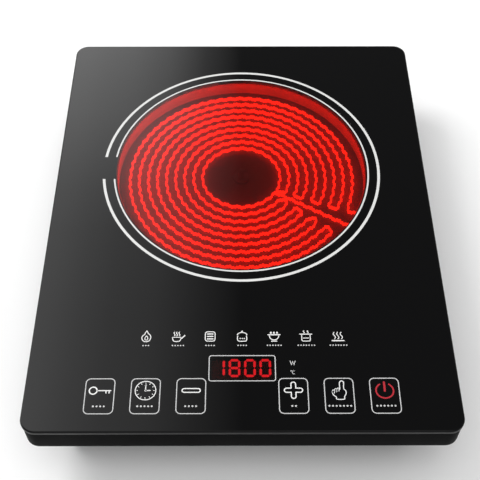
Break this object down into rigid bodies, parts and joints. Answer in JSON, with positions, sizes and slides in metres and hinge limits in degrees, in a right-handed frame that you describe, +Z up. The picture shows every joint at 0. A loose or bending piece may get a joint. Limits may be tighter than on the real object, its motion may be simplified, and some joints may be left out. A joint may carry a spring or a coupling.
{
  "type": "hot plate burner",
  "caption": "Free-standing single hob with a glass-ceramic top, a sprung radiant heater, touch controls and a cooling fan in a slim moulded casing.",
  "frame": {"origin": "on the surface it stands on, under the middle of the glass", "axes": "+X right as seen by the user, +Y to the rear, +Z up"},
  "size_m": [0.28, 0.358, 0.062],
  "materials": {
    "black_glass": "polished, printed black underneath",
    "silicone": "matt",
    "black_casing": "fine moulded texture",
    "foot_rubber": "matt",
    "zinc_screws": "zinc plated",
    "gland_plastic": "satin",
    "dish_steel": "pressed sheet",
    "insulation": "pressed fibre board",
    "hot_ribbon": "glowing resistance foil",
    "block_ceramic": "unglazed steatite",
    "cutout_plastic": "phenolic",
    "spring_steel": "drawn wire",
    "lead_sleeve": "glass-fibre sleeve",
    "shield_aluminium": "mill finish",
    "fan_plastic": "moulded",
    "copper_coils": "enamelled copper",
    "bearing_bronze": "sintered",
    "magnet": "bonded ferrite",
    "wire_red": "PVC insulation",
    "wire_brown": "PVC insulation",
    "wire_green": "PVC insulation",
    "circuit_board": "solder mask",
    "black_parts": "moulded epoxy",
    "relay_blue": "moulded case",
    "transformer_tape": "yellow tape",
    "capacitor_sleeve": "shrink sleeve",
    "white_parts": "moulded nylon",
    "fuse_ceramic": "glazed tube",
    "white_print": "screen-printed enamel",
    "red_print": "screen-printed enamel",
    "ribbon_grey": "flat cable"
  },
  "bodies": {
    "casing": {"glass_plate": "black_glass", "glass_seal": "silicone", "upper_frame": "black_casing", "bottom_housing": "black_casing", "rubber_feet": "foot_rubber", "case_screws": "zinc_screws", "cord_gland": "gland_plastic", "heater_springs": "spring_steel", "heater_leads": "lead_sleeve", "heat_shield": "shield_aluminium", "shield_screws": "zinc_screws", "fan_frame": "fan_plastic", "fan_stator": "copper_coils", "fan_bearing": "bearing_bronze", "fan_screws": "zinc_screws", "fan_lead": "wire_red", "power_board": "circuit_board", "power_board_screws": "zinc_screws", "heat_sink": "shield_aluminium", "triac": "black_parts", "relay": "relay_blue", "transformer": "transformer_tape", "line_choke": "copper_coils", "x_capacitor": "transformer_tape", "smoothing_capacitors": "capacitor_sleeve", "fuse": "fuse_ceramic", "varistor": "relay_blue", "buzzer": "black_parts", "board_connectors": "white_parts", "mains_terminal_block": "white_parts", "mains_block_screws": "zinc_screws", "mains_wires": "wire_brown", "earth_lead": "wire_green", "control_tray": "white_parts", "control_board": "circuit_board", "control_board_screws": "zinc_screws", "tray_screws": "zinc_screws", "display_module": "black_parts", "function_lights": "white_parts", "controller_chip": "black_parts", "touch_springs": "spring_steel", "ribbon_cable": "ribbon_grey"},
    "heater": {"heater_dish": "dish_steel", "insulation_base": "insulation", "insulation_ring": "insulation", "heating_element": "hot_ribbon", "element_pins": "dish_steel", "heater_terminal_block": "block_ceramic", "thermal_cutout": "cutout_plastic", "glass_sensor": "dish_steel"},
    "fan_rotor": {"fan_impeller": "fan_plastic", "fan_shaft": "spring_steel", "fan_magnet": "magnet"}
  },
  "joints": [
    {"name": "heater_float", "type": "slide", "parent": "casing", "child": "heater", "axis": [0, 0, 1], "range_m": [-0.002, 0], "stiffness_N_per_m": 6000, "springref_m": 0.006, "deforming": ["heater_springs", "heater_leads", "earth_lead"]},
    {"name": "fan_spin", "type": "hinge", "parent": "casing", "child": "fan_rotor", "pos_m": [0.068, -0.11, 0.02], "axis": [0, 0, 1], "continuous": true}
  ]
}
